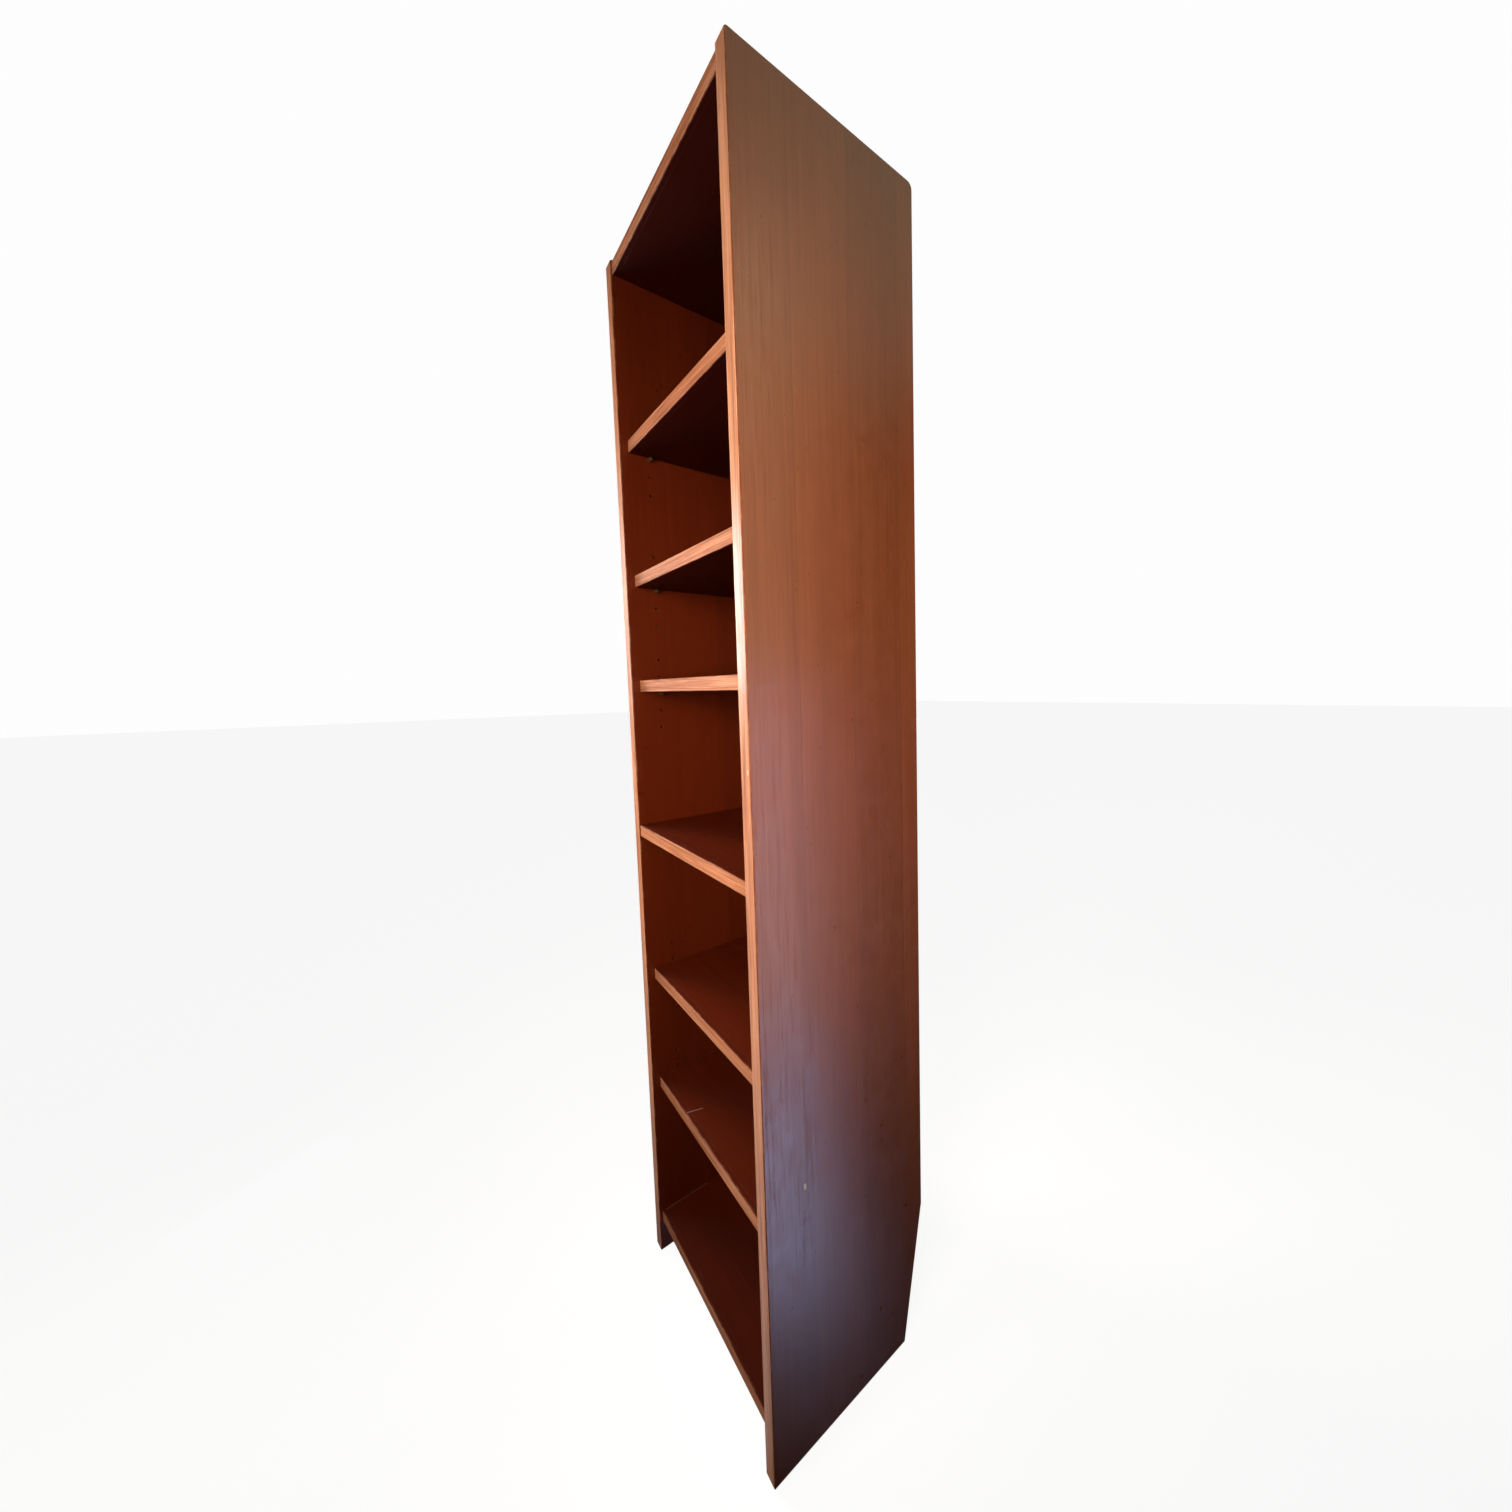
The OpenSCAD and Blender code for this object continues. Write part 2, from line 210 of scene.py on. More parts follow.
# Leaf number = whole part of (across - start) / width; each leaf slides its grain by a random length.
# Colour = ramp(share * figure + (1 - share) * streaks) * leaf tone, darkened by painted shade inside
# the case and on undersides, and mixed to the pore colour by pores and joints.
def teakLayers(finish, look):
    across = finish.part(finish.place, look["across"])
    leaf = (across - look["leafStart"]) / look["leafWidth"]
    chance = finish.chance(leaf.floor())
    isUpright = look["along"] == "Z"
    slide = chance * grainLook["slide"]
    slide = finish.vector(0.0, 0.0, slide) if isUpright else finish.vector(slide, 0.0, 0.0)
    grain = finish.shifted(finish.place, slide)

    def drawn(scale, along):  # grain coordinates for a noise of this scale
        return finish.stretch(grain, (scale, scale, scale * along) if isUpright
                              else (scale * along, scale, scale))

    figure = drawn(look["figure"], look["stretch"] * grainLook["figureStretch"])
    figure = finish.noise(figure, 1.0, 3.0, 0.55, 0.9)
    streaks = finish.noise(drawn(look["streaks"], look["stretch"]), 1.0, 5.0, 0.62)
    fine = drawn(look["pores"], look["stretch"] * grainLook["poreStretch"])
    fine = finish.noise(fine, 1.0, 2.0, 0.5)
    ripple = finish.noise(finish.place, grainLook["ripple"], 2.0, 0.5, 0.6)
    pores = finish.between(fine, grainLook["poreFrom"], grainLook["poreTo"])
    mixed = figure * grainLook["figureShare"] + streaks * (1 - grainLook["figureShare"])
    colour = finish.ramp(mixed, look["stops"])
    leafTone = look["leafTone"]
    tone = (1.0 - leafTone / 2) + chance * leafTone + (ripple - 0.5) * grainLook["rippleTone"]
    colour = finish.colours(1.0, colour, finish.vector(tone, tone, tone), "MULTIPLY")
    if look["inside"]:  # inside the case: deeper red, partly unfaded teak, partly painted shade
        reach = finish.part(finish.place, look["axis"])
        outside = finish.between(reach * reach, *[(look["inside"] + fade) ** 2 for fade in grainLook["fade"]])
        unfadedAndShaded = finish.colours(1.0, colour, look["unfadedAndShadeTint"], "MULTIPLY")
        colour = finish.colours(outside, unfadedAndShaded, colour)
    # Painted shade: the undersides of lying boards are multiplied darker.
    underShadeColour = finish.colours(1.0, colour, paintedUnderShade, "MULTIPLY")
    colour = finish.colours(finish.attribute("under"), colour, underShadeColour)
    colour = finish.colours(pores * look["poreDepth"], colour, poreWood)
    gap = leaf.fraction().least(1.0 - leaf.fraction()) * look["leafWidth"]
    joint = 1.0 - finish.between(gap, *grainLook["joint"])
    colour = finish.colours(joint * look["jointDepth"], colour, poreWood)
    rough = look["roughness"] + (ripple - 0.5) * grainLook["rippleRough"]
    rough = rough + pores * grainLook["poreRough"] - streaks * grainLook["streakRough"]
    height = streaks * grainLook["streakHeight"] - pores * grainLook["poreHeight"]
    return colour, rough, height - joint * grainLook["jointHeight"]


wearLook = {"rub": 42.0, "from": 0.44, "to": 0.68, "rough": 0.08, "markRough": 0.25, "coatRough": 0.34}


# Worn arrises: rubbed paler where the arris value times a slow noise is high. Marks come on top.
def teak(name, look, marks=()):
    finish = newFinish(name)
    colour, rough, height = teakLayers(finish, look)
    rub = finish.noise(finish.place, wearLook["rub"], 3.0, 0.6)
    worn = finish.attribute("arris") * finish.between(rub, wearLook["from"], wearLook["to"])
    worn = worn * (1.0 - finish.attribute("under"))
    colour = finish.colours(worn * look["wear"], colour, wornWood)
    rough = rough + (rub - 0.5) * wearLook["rough"]
    for mark in marks:
        mask = markMask(finish, mark)
        colour = finish.colours(mask * mark["strength"], colour, mark["colour"])
        rough = rough + mask * wearLook["markRough"]
        height = height - mask * mark["depth"]
    return finish.surface({
        "Base Color": colour, "Roughness": rough,
        "Normal": finish.relief(height, look["relief"], grainLook["depth"]),
        "Coat Weight": look["coat"], "Coat Roughness": wearLook["coatRough"],
        "Specular IOR Level": look["specular"]})


# A mark is 1 near the line from start to end and fades out, unevenly, by 1.9 half widths from it.
def markMask(finish, mark):
    start, end = Vector(mark["start"]), Vector(mark["end"])
    run = (end - start).length
    way = (end - start) / run
    offset = finish.node("ShaderNodeVectorMath", {"operation": "SUBTRACT"}, {0: finish.place, 1: start})
    reach = finish.node("ShaderNodeVectorMath", {"operation": "DOT_PRODUCT"}, {0: offset, 1: way}, "Value")
    nearest = finish.node("ShaderNodeVectorMath", {"operation": "SCALE"},
                          {0: way, "Scale": reach.most(0.0).least(run)})
    apart = finish.node("ShaderNodeVectorMath", {"operation": "DISTANCE"}, {0: offset, 1: nearest}, "Value")
    wobble = finish.noise(finish.place, 900.0, 2.0) * mark["halfWidth"]
    return 1.0 - finish.between(apart + wobble, mark["halfWidth"] * 0.9, mark["halfWidth"] * 1.9)


# Back panel: veneered in front of its middle plane, plain ply with slow cloudy figure behind it.
plyLook = {"pale": (0.47, 0.31, 0.17), "deep": (0.33, 0.20, 0.10), "roughness": 0.66,
           "cloudShare": 0.7, "seam": 0.0002}


def backPly(middle):
    finish = newFinish("back panel ply")
    colour, rough, height = teakLayers(finish, backVeneer)
    cloud = finish.noise(finish.stretch(finish.place, (9.0, 9.0, 1.1)), 1.0, 4.0, 0.55, 1.6)
    fibre = finish.noise(finish.stretch(finish.place, (420.0, 420.0, 7.0)), 1.0, 3.0)
    mixed = cloud * plyLook["cloudShare"] + fibre * (1 - plyLook["cloudShare"])
    plain = finish.colours(finish.between(mixed, 0.36, 0.62), plyLook["deep"], plyLook["pale"])
    depth = finish.part(finish.place, "Y")
    behind = finish.between(depth, middle - plyLook["seam"], middle + plyLook["seam"])
    return finish.surface({
        "Base Color": finish.colours(behind, colour, plain),
        "Roughness": rough + behind * (plyLook["roughness"] - backVeneer["roughness"]),
        "Normal": finish.relief(height + behind * fibre, 0.2, grainLook["depth"])})


# Board core at unlipped edges: glued strips whose tone steps every 20 mm, with end grain specks.
coreLook = {"strip": 0.020, "start": -0.007, "pale": (0.42, 0.27, 0.14), "deep": (0.30, 0.18, 0.09),
            "roughness": 0.74, "stripShare": 0.7}


def boardCore():
    finish = newFinish("board core")
    number = ((finish.part(finish.place, "X") - coreLook["start"]) / coreLook["strip"]).floor() * 3.0
    strip = finish.chance((finish.part(finish.place, "Y") / coreLook["strip"]).floor() + number)
    specks = finish.noise(finish.place, 1400.0, 2.0)
    mixed = strip * coreLook["stripShare"] + specks * (1 - coreLook["stripShare"])
    colour = finish.colours(mixed, coreLook["deep"], coreLook["pale"])
    return finish.surface({"Base Color": colour, "Roughness": coreLook["roughness"] + specks * 0.1,
                           "Normal": finish.relief(specks, 0.25, 0.0005)})


# Brass: turning rings are a fine noise along the pin, tarnish is a slow one.
brassLook = {"bright": (0.30, 0.17, 0.07), "dull": (0.15, 0.075, 0.03), "roughness": 0.42}


def brass():
    finish = newFinish("shelf pin brass")
    rings = finish.noise(finish.stretch(finish.place, (2600.0, 60.0, 60.0)), 1.0, 2.0)
    tarnish = finish.noise(finish.place, 330.0, 4.0, 0.6)
    colour = finish.colours(finish.between(tarnish, 0.42, 0.66), brassLook["bright"], brassLook["dull"])
    return finish.surface({"Base Color": colour, "Metallic": 1.0 - tarnish * 0.5,
                           "Roughness": brassLook["roughness"] + tarnish * 0.25 + rings * 0.06,
                           "Normal": finish.relief(rings, 0.18, 0.0001)})


# Steel: wire drawn bright, with rust where a fine noise is high.
steelLook = {"bright": (0.46, 0.46, 0.45), "rust": (0.17, 0.08, 0.04), "roughness": 0.42}


def steel():
    finish = newFinish("nail steel")
    spots = finish.noise(finish.place, 700.0, 4.0, 0.65)
    rust = finish.between(spots, 0.55, 0.70)
    colour = finish.colours(rust, steelLook["bright"], steelLook["rust"])
    return finish.surface({"Base Color": colour, "Metallic": 0.9 - rust * 0.7,
                           "Roughness": steelLook["roughness"] + rust * 0.35,
                           "Normal": finish.relief(spots, 0.2, 0.0002)})


# Beech: pale wood with short flecks along the dowel.
beechLook = {"pale": (0.66, 0.46, 0.26), "deep": (0.48, 0.30, 0.16), "roughness": 0.62}


def beech():
    finish = newFinish("dowel beech")
    flecks = finish.noise(finish.stretch(finish.place, (60.0, 900.0, 900.0)), 1.0, 3.0)
    colour = finish.colours(finish.between(flecks, 0.35, 0.65), beechLook["deep"], beechLook["pale"])
    return finish.surface({"Base Color": colour, "Roughness": beechLook["roughness"] + flecks * 0.1,
                           "Normal": finish.relief(flecks, 0.3, 0.0002)})


leastRadius = 0.00025   # of an inset corner's arc


# Outline of a convex polygon, corners anticlockwise: each edge is moved in by its inset, and each
# corner is an arc, centre + radius * ray, whose ray turns from one edge's outward normal to the next's.
def outlineLoops(corners, rounds, insets, steps=6):
    corners, rounds, insets = np.array(corners, float), np.array(rounds, float), np.array(insets, float)
    along = np.roll(corners, -1, axis=0) - corners
    along /= np.linalg.norm(along, axis=1, keepdims=True)
    inward = np.stack([-along[:, 1], along[:, 0]], axis=1)
    before = np.roll(inward, 1, axis=0)
    radius = np.maximum(rounds - (insets + np.roll(insets, 1, axis=1)) / 2, leastRadius)
    line = (inward * corners).sum(axis=1)
    reach = line + insets + radius
    reachBefore = (before * corners).sum(axis=1) + np.roll(insets, 1, axis=1) + radius
    cross = before[:, 0] * inward[:, 1] - before[:, 1] * inward[:, 0]
    centre = np.stack([(reachBefore * inward[:, 1] - reach * before[:, 1]) / cross,
                       (reach * before[:, 0] - reachBefore * inward[:, 0]) / cross], axis=-1)
    first = np.arctan2(-before[:, 1], -before[:, 0])
    turn = np.mod(np.arctan2(-inward[:, 1], -inward[:, 0]) - first, 2 * np.pi)
    angle = first[:, None] + turn[:, None] * np.linspace(0.0, 1.0, steps + 1)
    ray = np.stack([np.cos(angle), np.sin(angle)], axis=-1)
    points = centre[:, :, None, :] + radius[:, :, None, None] * ray
    return points.reshape(len(insets), -1, 2), ray.reshape(-1, 2)


# Circle loops: centre + (radius - inset) * ray.
def circleLoops(centre, radius, insets, steps=20):
    angle = np.linspace(0.0, 2 * np.pi, steps, endpoint=False)
    ray = np.stack([np.cos(angle), np.sin(angle)], axis=-1)
    return np.array(centre) + (radius - np.array(insets))[:, None, None] * ray, ray


# Pocket: mouth, chamfer, wall and floor of a hole or groove, as loops with their depths.
def pocket(make, depth, chamfer):
    loops, ray = make([-chamfer, 0.0, 0.0, chamfer])
    depths = np.array([0.0, chamfer, depth - chamfer, depth])
    upright = np.array([1.0, 0.0, 0.0, 1.0])
    normals = np.concatenate([np.broadcast_to(-ray, loops.shape) * (1 - upright)[:, None, None],
                              np.broadcast_to(upright[:, None, None], loops.shape[:2] + (1,))], axis=-1)
    return {"loops": loops, "depths": depths, "normals": normals}


triangulation = {"onlyInside": 1, "closeness": 1e-7}


# Cap with holes: a triangulation of all loops, without the triangles that fill a hole.
def capTriangles(loops):
    lengths = [len(loop) for loop in loops]
    starts = np.cumsum([0] + lengths[:-1])
    owner = np.repeat(np.arange(len(loops)), lengths)
    edges = [(start + k, start + (k + 1) % length)
             for start, length in zip(starts.tolist(), lengths) for k in range(length)]
    points = np.concatenate(loops)
    found = delaunay_2d_cdt([Vector(point) for point in points.tolist()], edges, [],
                            triangulation["onlyInside"], triangulation["closeness"])
    triangles = np.array(found[2])
    filled = (owner[triangles] == owner[triangles[:, :1]]).all(axis=1) & (owner[triangles[:, 0]] > 0)
    triangles = triangles[~filled]
    a, b, c = (points[triangles[:, k]] for k in range(3))
    clockwise = (b[:, 0] - a[:, 0]) * (c[:, 1] - a[:, 1]) < (b[:, 1] - a[:, 1]) * (c[:, 0] - a[:, 0])
    triangles[clockwise] = triangles[clockwise][:, ::-1]
    return triangles


upAxes = (1, 2, 0)   # the world axes of a side's local depth, height and thickness
flatAxes = (0, 1, 2)
# Support loops, and the arris value: most in the middle of an arris, full from the fullWear radius.
shaping = {"support": 0.003, "supportShare": 5, "leastWear": 0.55, "fullWear": 0.0006, "mouthWear": 0.4}


# Slab: the outline carried through the thickness. On an arris of radius a the loop at angle t is
# inset by a * (1 - sin t) and lies a * (1 - cos t) inside the face; a support loop runs either side.
# A clad slab has its second material on both broad faces, up to the middle of the arris.
# Pockets open on the high or the low face; coreEdges are the edges that show the second material.
def slab(name, axes, corners, rounds, arrises, low, high, pockets=(), onHigh=True, coreEdges=(),
         isClad=False, steps=6):
    arrises = np.array(arrises, float)
    narrowest = min(high - low, np.ptp(np.array(corners), axis=0).min())
    support = min(shaping["support"], narrowest / shaping["supportShare"])
    turn = np.concatenate([[0.0], np.linspace(0.0, np.pi / 2, steps), [np.pi / 2]])
    insets = (1 - np.sin(turn))[:, None] * arrises
    insets[0] += support
    loops, ray = outlineLoops(corners, rounds, insets, steps)
    levels, ring = loops.shape[:2]
    blend = np.linspace(0.0, 1.0, steps + 1)
    spread = (np.roll(arrises, 1)[:, None] * (1 - blend) + arrises[:, None] * blend).ravel()
    sink = (1 - np.cos(turn))[:, None] * spread
    sink[-1] += support
    worn = shaping["leastWear"] + (1 - shaping["leastWear"]) * np.sin(2 * turn)
    worn[[0, -1]] = 0.0
    side = np.sin(turn)[:, None, None] * ray
    face = np.broadcast_to(np.cos(turn)[:, None, None], (levels, ring, 1))
    points = np.concatenate([np.concatenate([loops, low + sink[..., None]], axis=-1),
                             np.concatenate([loops, high - sink[..., None]], axis=-1)[::-1]])
    normals = np.concatenate([np.concatenate([side, -face], axis=-1),
                              np.concatenate([side, face], axis=-1)[::-1]])
    share = np.minimum(spread / shaping["fullWear"], 1.0)
    arris = (np.concatenate([worn, worn[::-1]])[:, None] * share).ravel()
    level, spot = np.meshgrid(np.arange(2 * levels - 1), np.arange(ring), indexing="ij")
    after = (spot + 1) % ring
    quads = np.stack([level * ring + spot, level * ring + after,
                      (level + 1) * ring + after, (level + 1) * ring + spot], axis=-1).reshape(-1, 4)
    isCore = (spot % (steps + 1) == steps) & np.isin(spot // (steps + 1), list(coreEdges))
    isCore &= np.abs(level - (levels - 1)) <= 1
    isOther = isCore | (isClad & (np.abs(level - (levels - 1)) >= steps // 2 + 1))
    lowCap, highCap = np.arange(ring)[::-1], np.arange(ring) + (2 * levels - 1) * ring
    points, normals = points.reshape(-1, 3), normals.reshape(-1, 3)
    faces = quads.tolist()
    slots = isOther.ravel().astype(int).tolist()
    if not pockets:
        faces += [lowCap.tolist(), highCap.tolist()]
        return solid(name, axes, points, normals, faces, slots + [int(isClad)] * 2, arris)
    faces.append((lowCap if onHigh else highCap).tolist())
    way, start = (1, high) if onHigh else (-1, low)
    capNumbers = [np.arange(ring) + (2 * levels - 1) * ring if onHigh else np.arange(ring)]
    base = len(points)
    for hole in pockets:
        depth, count = hole["loops"].shape[:2]
        tall = np.broadcast_to((start - way * hole["depths"])[:, None, None], (depth, count, 1))
        points = np.concatenate([points, np.concatenate([hole["loops"], tall], axis=-1).reshape(-1, 3)])
        normals = np.concatenate([normals, (hole["normals"] * (1, 1, way)).reshape(-1, 3)])
        arris = np.concatenate([arris, np.repeat([0.0, shaping["mouthWear"], 0.0, 0.0], count)])
        level, spot = np.meshgrid(np.arange(depth - 1), np.arange(count), indexing="ij")
        after = (spot + 1) % count
        walls = np.stack([level * count + spot, level * count + after,
                          (level + 1) * count + after, (level + 1) * count + spot], axis=-1) + base
        faces += walls.reshape(-1, 4)[:, ::way].tolist()
        faces.append((np.arange(count) + base + (depth - 1) * count)[::way].tolist())
        capNumbers.append(np.arange(count) + base)
        base += depth * count
    triangles = capTriangles([loops[0]] + [hole["loops"][0] for hole in pockets])
    faces += np.concatenate(capNumbers)[triangles][:, ::way].tolist()
    return solid(name, axes, points, normals, faces, slots + [0] * (len(faces) - len(slots)), arris)


# Puts arrays into a mesh; axes says which world axis each local axis is. Lying boards carry 1 on
# their undersides, where the teak finishes paint shade.
def solid(name, axes, points, normals, faces, slots, arris):
    order = np.argsort(axes)
    under = (points[:, 2] < points[:, 2].min() + 1e-6) * float(axes == flatAxes)
    mesh = bpy.data.meshes.new(name)
    mesh.from_pydata(points[:, order].tolist(), [], faces)
    mesh.polygons.foreach_set("material_index", slots)
    mesh.polygons.foreach_set("use_smooth", np.ones(len(faces), bool))
    mesh.attributes.new("arris", "FLOAT", "POINT").data.foreach_set("value", arris)
    mesh.attributes.new("under", "FLOAT", "POINT").data.foreach_set("value", under)
    mesh.update()
    mesh.normals_split_custom_set_from_vertices(normals[:, order].tolist())
    piece = bpy.data.objects.new(name, mesh)
    bpy.context.scene.collection.objects.link(piece)
    return piece


# Lathe: a profile of (length along X, radius) turned round the X axis through a centre, and its
# normals from the profile's slope on either side of each point.
def turned(name, profile, centre, way, steps=28):
    profile = np.array(profile, float)
    angle = np.linspace(0.0, 2 * np.pi, steps, endpoint=False)
    ray = np.stack([np.zeros(steps), np.cos(angle), np.sin(angle)], axis=-1)
    along = np.array([way, 0.0, 0.0])
    points = centre + profile[:, :1, None] * along + profile[:, 1:, None] * ray
    slope = np.gradient(profile, axis=0)
    slope /= np.linalg.norm(slope, axis=1, keepdims=True)
    normals = slope[:, :1, None] * ray - slope[:, 1:, None] * along
    rings = len(profile)
    level, spot = np.meshgrid(np.arange(rings - 1), np.arange(steps), indexing="ij")
    after = (spot + 1) % steps
    quads = np.stack([level * steps + spot, level * steps + after,
                      (level + 1) * steps + after, (level + 1) * steps + spot], axis=-1).reshape(-1, 4)
    faces = quads[:, ::way].tolist()
    faces += [np.arange(steps)[::-way].tolist(), (np.arange(steps) + (rings - 1) * steps)[::way].tolist()]
    return solid(name, flatAxes, points.reshape(-1, 3), normals.reshape(-1, 3), faces,
                 [0] * len(faces), np.zeros(rings * steps))


nodeBody = {node: body for body, nodes in frame["record"]["behaviour"]["bodies"].items() for node in nodes}


def rectangle(low, high):  # corners anticlockwise from the lowest
    return [(low[0], low[1]), (high[0], low[1]), (high[0], high[1]), (low[0], high[1])]


def standFor(piece, node, *materials):
    for material in materials:
        piece.data.materials.append(material)
    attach(piece, nodeBody[node])
    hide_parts(node)


# Sides: outline in depth and height, cut on a slant at the lower back, thickness along X.
sides = {"cutHeight": 0.229, "cutDepth": 0.044, "backCorner": 0.009, "frontCorner": 0.004,
         "footCorner": 0.001, "cutCorner": 0.002, "toeCorner": 0.0008, "arris": 0.0009, "joint": 0.00012,
         "foot": 0.0006, "lipArris": 0.002}
pinHoles = {"radius": 0.00255, "depth": 0.010, "chamfer": 0.00035, "pitch": 0.032, "steps": 2}
groove = {"depth": 0.006, "play": 0.0002, "chamfer": 0.0002, "corner": 0.0004}


# Hole groups: pin height + k * pitch for k from -steps to steps, kept while they lie nearer to this
# shelf than to the board above or below it.
def holeCentres():
    upwards = ["bottom_shelf", "shelf_5", "shelf_4", "middle_shelf", "shelf_3", "shelf_2", "shelf_1",
               "top_board"]
    centres = []
    for below, this, above in zip(upwards, upwards[1:], upwards[2:]):
        if not this.startswith("shelf"):
            continue
        up = (box(above)[0][2] - box(this)[1][2]) / 2
        down = (box(this)[0][2] - box(below)[1][2]) / 2
        rise = np.arange(-pinHoles["steps"], pinHoles["steps"] + 1) * pinHoles["pitch"]
        rise = rise[(rise <= up) & (-rise <= down)]
        for row in ("front", "back"):
            low, high = box(this + "_pin_left_" + row)
            centres += [((low[1] + high[1]) / 2, (low[2] + high[2]) / 2 + step) for step in rise]
    return centres


def makeSide(side, veneer, lip):
    low, high = box("side_" + side)
    panelLow, panelHigh = box("back_panel")
    pockets = [pocket(lambda insets, at=at: circleLoops(at, pinHoles["radius"], insets),
                      pinHoles["depth"], pinHoles["chamfer"]) for at in holeCentres()]
    slotCorners = rectangle(panelLow[1:] - groove["play"], panelHigh[1:] + groove["play"])
    pockets.append(pocket(
        lambda insets: outlineLoops(slotCorners, [groove["corner"]] * 4,
                                    np.repeat(insets, 4).reshape(-1, 4)),
        groove["depth"], groove["chamfer"]))
    corners = [(low[1], low[2]), (high[1] - sides["cutDepth"], low[2]), (high[1], sides["cutHeight"]),
               (high[1], high[2]), (low[1], high[2])]
    board = slab("side_board_" + side, upAxes, corners,
                 [0.0, sides["footCorner"], sides["cutCorner"], sides["backCorner"], 0.0],
                 [sides["foot"], sides["arris"], sides["arris"], sides["arris"], sides["joint"]],
                 low[0], high[0], pockets, side == "left")
    standFor(board, "side_" + side, veneer)
    low, high = box("side_" + side + "_lipping")
    corners = rectangle(low[1:], high[1:])
    edge = slab("side_edge_" + side, upAxes, corners, [sides["toeCorner"], 0.0, 0.0, sides["frontCorner"]],
                [sides["foot"], sides["joint"], sides["arris"], sides["lipArris"]],
                low[0], high[0], isClad=True)
    standFor(edge, "side_" + side + "_lipping", lip, veneer)


# Boards and shelves: outline in width and depth, thickness along Z.
boards = {"arris": 0.0007, "joint": 0.00012, "end": 0.0004, "lipArris": 0.002}


def makeBoard(node, veneer, lip, core=None):
    low, high = box(node)
    corners = rectangle(low, high)
    end = boards["end"]
    flat = slab(node + "_panel", flatAxes, corners, [0.0, end, end, 0.0],
                [boards["joint"], end, boards["arris"], end], low[2], high[2],
                coreEdges=(1, 2, 3) if core else ())
    standFor(flat, node, veneer, *([core] if core else []))
    low, high = box(node + "_lipping")
    corners = rectangle(low, high)
    edge = slab(node + "_edge", flatAxes, corners, [end, 0.0, 0.0, end],
                [boards["lipArris"], end, boards["joint"], end], low[2], high[2], isClad=True)
    standFor(edge, node + "_lipping", lip, veneer)


# Shelf pin: (length from the shank's tip, radius). A shank, a shoulder and a head with one turned line.
pinProfile = [(0.0, 0.0016), (0.0001, 0.0018), (0.0006, 0.00246), (0.0009, 0.0025), (0.0088, 0.0025),
              (0.00895, 0.0026), (0.0090, 0.0029), (0.00905, 0.0032), (0.0093, 0.00346), (0.0096, 0.0035),
              (0.0118, 0.0035), (0.0120, 0.00335), (0.0122, 0.00325), (0.0124, 0.00335), (0.0126, 0.0035),
              (0.0178, 0.0035), (0.0183, 0.0034), (0.0187, 0.00315), (0.0189, 0.0028), (0.0190, 0.0024)]


def makePin(node, metal):
    low, high = box(node)
    centre = (low + high) / 2
    way = 1 if "_left_" in node else -1
    centre[0] = low[0] if way > 0 else high[0]
    standFor(turned(node + "_turned", pinProfile, centre, way), node, metal)


# Marks on the case: a chip, a nick and a scratch that years of use have left, and a pale line along the
# bottom shelf's top at its left end.
sideHigh = box("side_right")[1]
frontY = box("side_right_lipping")[0][1]
shelfTop = box("shelf_5")[1][2]
bottomLow, bottomHigh = box("bottom_shelf")
chip = {"start": (sideHigh[0], frontY + 0.065, 0.416), "end": (sideHigh[0], frontY + 0.065, 0.422),
        "halfWidth": 0.0022, "colour": (0.95, 0.93, 0.92), "strength": 1.0, "depth": 0.3}
nickX = sideHigh[0] - 0.005
nick = {"start": (nickX, frontY, 1.021), "end": (nickX, frontY, 1.026),
        "halfWidth": 0.0010, "colour": (0.88, 0.76, 0.58), "strength": 0.9, "depth": 2.0}
scratch = {"start": (-0.080, frontY + 0.018, shelfTop), "end": (-0.071, frontY + 0.044, shelfTop),
           "halfWidth": 0.0007, "colour": (0.62, 0.45, 0.34), "strength": 0.8, "depth": 1.0}
# A pale line along the bottom shelf's top at its left end, from the front 85 mm back.
paleEndLine = {"start": (bottomLow[0] + 0.001, bottomLow[1], bottomHigh[2]),
            "end": (bottomLow[0] + 0.001, bottomLow[1] + 0.085, bottomHigh[2]),
            "halfWidth": 0.0009, "colour": (0.40, 0.24, 0.15), "strength": 0.5, "depth": 0.2}

leftSide = teak("teak veneer left side", sideVeneer)
rightSide = teak("teak veneer right side", sideVeneer, [chip])
leftEdge = teak("solid teak left edge", sideLip)
rightEdge = teak("solid teak right edge", sideLip, [nick])
shelfFace = teak("teak veneer shelves", shelfVeneer)
topFace = teak("teak veneer top board", topVeneer)
scratchedShelf = teak("teak veneer scratched shelf", shelfVeneer, [scratch])
bottomFace = teak("teak veneer bottom shelf", shelfVeneer, [paleEndLine])
shelfEdge = teak("solid teak shelf edges", shelfLip)
core = boardCore()
pinBrass = brass()
print("finishes made:", len(bpy.data.materials))

makeSide("left", leftSide, leftEdge)
makeSide("right", rightSide, rightEdge)
print("sides made")
makeBoard("top_board", topFace, shelfEdge)
makeBoard("middle_shelf", shelfFace, shelfEdge)
makeBoard("bottom_shelf", bottomFace, shelfEdge)
for number in range(1, 6):
    makeBoard(f"shelf_{number}", scratchedShelf if number == 5 else shelfFace, shelfEdge, core)
print("boards and shelves made")
for node in frame["nodes"]:
    if "_pin_" in node:
        makePin(node, pinBrass)
print("shelf pins made")

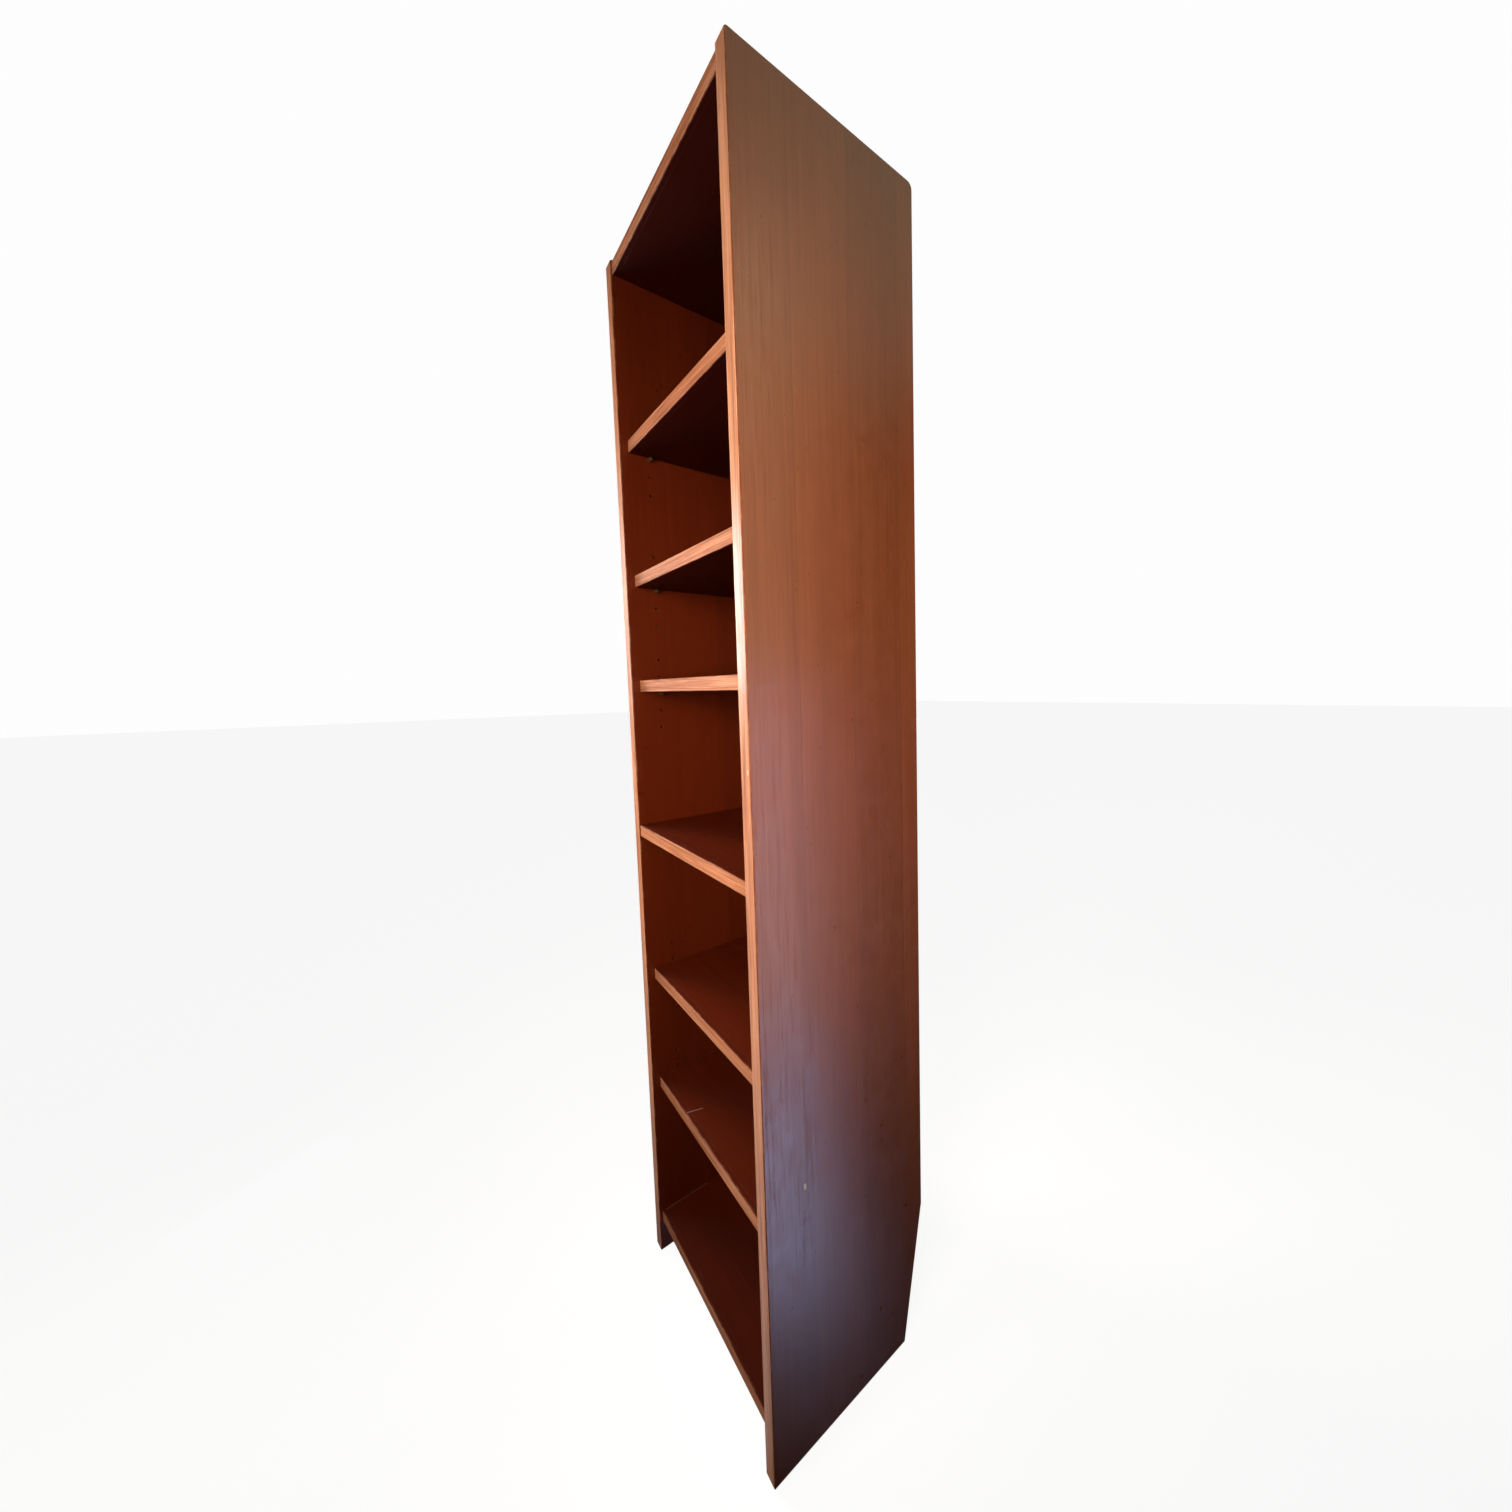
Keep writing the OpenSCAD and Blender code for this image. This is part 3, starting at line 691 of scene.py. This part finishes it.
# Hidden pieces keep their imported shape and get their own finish.
panelLow, panelHigh = box("back_panel")
kept = {"back_panel": backPly((panelLow[1] + panelHigh[1]) / 2), "kick_board": shelfFace,
        "back_nails": steel()}
dowelBeech = beech()
kept.update({name + "_dowels": dowelBeech for name in ("top", "middle", "bottom", "kick")})
for node, material in kept.items():
    for materialSlot in frame["nodes"][node].material_slots:
        materialSlot.material = material
print("kept pieces finished")

# Floor: a pale sheet just under the feet, with a glow of its own that keeps it nearly white.
floorLook = {"half": 30.0, "cells": 4, "drop": 0.0005, "colour": (0.34, 0.34, 0.338), "shade": 0.985,
             "glow": 0.91, "roughness": 0.7}


def makeFloor():
    finish = newFinish("pale floor")
    cloud = finish.noise(finish.place, 1.3, 3.0)
    shaded = [part * floorLook["shade"] for part in floorLook["colour"]]
    colour = finish.colours(cloud, shaded, floorLook["colour"])
    material = finish.surface({"Base Color": colour, "Roughness": floorLook["roughness"] + cloud * 0.05,
                               "Emission Color": (1.0, 1.0, 1.0, 1.0), "Emission Strength": floorLook["glow"],
                               "Specular IOR Level": 0.1})
    cells = floorLook["cells"]
    span = np.linspace(-floorLook["half"], floorLook["half"], cells + 1)
    x, y = np.meshgrid(span, span, indexing="ij")
    points = np.stack([x, y, np.full_like(x, -floorLook["drop"])], axis=-1).reshape(-1, 3)
    row, column = np.meshgrid(np.arange(cells), np.arange(cells), indexing="ij")
    first = (row * (cells + 1) + column).ravel()
    quads = np.stack([first, first + cells + 1, first + cells + 2, first + 1], axis=-1)
    mesh = bpy.data.meshes.new("floor")
    mesh.from_pydata(points.tolist(), [], quads.tolist())
    mesh.materials.append(material)
    floor = bpy.data.objects.new("floor", mesh)
    bpy.context.scene.collection.objects.link(floor)
    floor.visible_diffuse = False
    floor.visible_glossy = False


makeFloor()

# Lamps: place, what it faces, width and height, power in watts, colour, spread in degrees, and
# whether it is a sheen, which only reflections show, or a light, which only matt surfaces take.
lamps = {
    "key": {"place": (-1.40, -0.58, 1.30), "faces": (-0.2, -0.15, 1.20),
            "width": (0.5, 0.8), "power": 8.0, "colour": (1.0, 0.93, 0.86), "spread": 84, "isSheen": False},
    "front": {"place": (0.75, -1.15, 1.28), "faces": (0.1, -0.15, 1.12),
            "width": (0.7, 0.7), "power": 5.8, "colour": (1.0, 0.93, 0.86), "spread": 88, "isSheen": False},
    "right": {"place": (1.20, -0.32, 1.30), "faces": (0.2285, -0.10, 1.30),
            "width": (0.6, 0.6), "power": 2.6, "colour": (1.0, 0.93, 0.84), "spread": 120, "isSheen": False},
    "edges": {"place": (-0.30, -2.40, 0.95), "faces": (-0.10, -0.15, 0.95),
            "width": (0.5, 1.8), "power": 5.8, "colour": (1.0, 0.93, 0.88), "spread": 110, "isSheen": False},
    "behind": {"place": (-0.25, 2.60, 1.00), "faces": (0.0, 0.15, 1.00),
            "width": (0.5, 0.8), "power": 2.2, "colour": (1.0, 0.95, 0.90), "spread": 46, "isSheen": False},
    "sheenLow": {"place": (1.20, 0.40, -0.55), "faces": (0.2285, 0.40, -0.55),
            "width": (0.40, 1.0), "power": 8.8, "colour": (0.44, 0.60, 1.0), "spread": 180, "isSheen": True},
    "sheenMiddle": {"place": (1.20, 0.40, 0.55), "faces": (0.2285, 0.40, 0.55),
            "width": (0.28, 1.2), "power": 6.2, "colour": (0.96, 0.82, 1.0), "spread": 180, "isSheen": True},
    "sheenHigh": {"place": (1.20, 0.40, 1.85), "faces": (0.2285, 0.40, 1.85),
            "width": (0.28, 1.4), "power": 4.0, "colour": (1.0, 0.80, 0.50), "spread": 180, "isSheen": True},
    "ceiling": {"place": (1.50, 0.90, 2.95), "faces": (1.50, 0.90, 0.0),
            "width": (2.2, 2.2), "power": 10.0, "colour": (0.84, 1.0, 0.72), "spread": 180, "isSheen": True},
    "window": {"place": (-1.00, -0.81, 1.44), "faces": (0.2165, -0.1525, 1.24),
            "width": (0.24, 0.6), "power": 8.0, "colour": (0.80, 0.90, 1.0), "spread": 180, "isSheen": True},
    "frontFloor": {"place": (-1.00, -0.81, -0.50), "faces": (0.2165, -0.1525, -0.5),
            "width": (0.30, 3.2), "power": 2.8, "colour": (0.90, 0.90, 1.0), "spread": 180, "isSheen": True},
}


def makeLamp(name, look):
    light = bpy.data.lights.new(name, "AREA")
    light.shape = "RECTANGLE"
    light.size, light.size_y = look["width"]
    light.spread = math.radians(look["spread"])
    light.energy = look["power"]
    light.color = look["colour"]
    lamp = bpy.data.objects.new(name, light)
    way = Vector(look["faces"]) - Vector(look["place"])
    lamp.matrix_world = Matrix.Translation(look["place"]) @ way.to_track_quat("-Z", "Y").to_matrix().to_4x4()
    lamp.visible_camera = False
    lamp.visible_diffuse = not look["isSheen"]
    lamp.visible_glossy = look["isSheen"]
    bpy.context.scene.collection.objects.link(lamp)


for name, look in lamps.items():
    makeLamp(name, look)

# Surroundings: near white where the camera looks past the object, a weak warm grey for its light.
skyLook = {"seen": 0.985, "light": (0.027, 0.025, 0.023), "ground": (0.008, 0.007, 0.006),
           "horizon": (-0.12, 0.20)}


def makeSky():
    world = bpy.data.worlds.new("studio")
    bpy.context.scene.world = world
    finish = Finish(world, "Generated")
    up = finish.between(finish.part(finish.place, "Z"), *skyLook["horizon"])
    light = finish.colours(up, skyLook["ground"], skyLook["light"])
    isSeen = finish.node("ShaderNodeLightPath", out="Is Camera Ray")
    colour = finish.colours(isSeen, light, (skyLook["seen"],) * 3)
    shader = finish.node("ShaderNodeBackground", None, {0: colour})
    finish.node("ShaderNodeOutputWorld", None, {"Surface": shader})


makeSky()
print("floor, lamps and surroundings made")

# Camera: a very wide lens close to the right front corner, a little above the middle of the case.
viewpoint = {"place": (0.8255, -0.4794, 1.1288), "sensor": 36.0, "lens": 12.72, "nearest": 0.02,
             "shift": (-0.0701, -0.0168),
             "right": (0.65374, 0.75651, -0.01763), "up": (-0.04966, 0.06614, 0.99657),
             "back": (0.75509, -0.65063, 0.08081)}
camera = bpy.data.cameras.new("camera")
camera.sensor_width = viewpoint["sensor"]
camera.lens = viewpoint["lens"]
camera.shift_x, camera.shift_y = viewpoint["shift"]
camera.clip_start = viewpoint["nearest"]
cameraObject = bpy.data.objects.new("camera", camera)
turn = Matrix((viewpoint["right"], viewpoint["up"], viewpoint["back"])).transposed()
cameraObject.matrix_world = Matrix.Translation(viewpoint["place"]) @ turn.to_4x4()
bpy.context.scene.collection.objects.link(cameraObject)
bpy.context.scene.camera = cameraObject
bpy.context.scene.view_settings.view_transform = "Standard"
